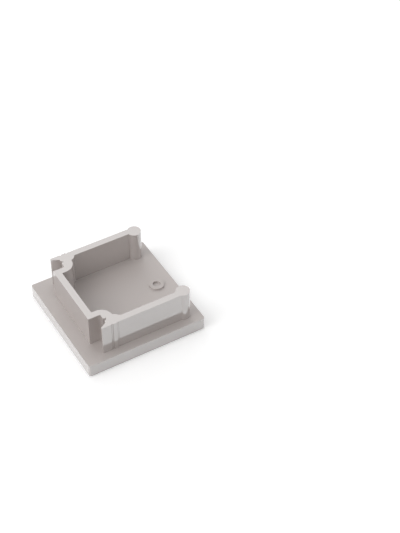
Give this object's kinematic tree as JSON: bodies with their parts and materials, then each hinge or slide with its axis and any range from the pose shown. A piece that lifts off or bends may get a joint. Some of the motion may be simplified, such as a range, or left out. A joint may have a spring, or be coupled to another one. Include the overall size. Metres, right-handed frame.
{
  "type": "profile end cap",
  "caption": "Square end cap for a slotted profile: flat cover plate with a three-sided push-in plug, corner notches for the screw ports, guide ribs and round bulbs at the open side.",
  "frame": {"origin": "centre of the finished face of the cover plate", "axes": "+Z out of the plate along the plug, into the profile; +X towards the plug's open side; both halves, +Y and -Y, match"},
  "size_m": [0.03, 0.03, 0.0115],
  "materials": {
    "cap_plastic": "light warm grey moulded plastic, smooth and glossy"
  },
  "bodies": {
    "root": {"end_cap": "cap_plastic"}
  },
  "joints": []
}
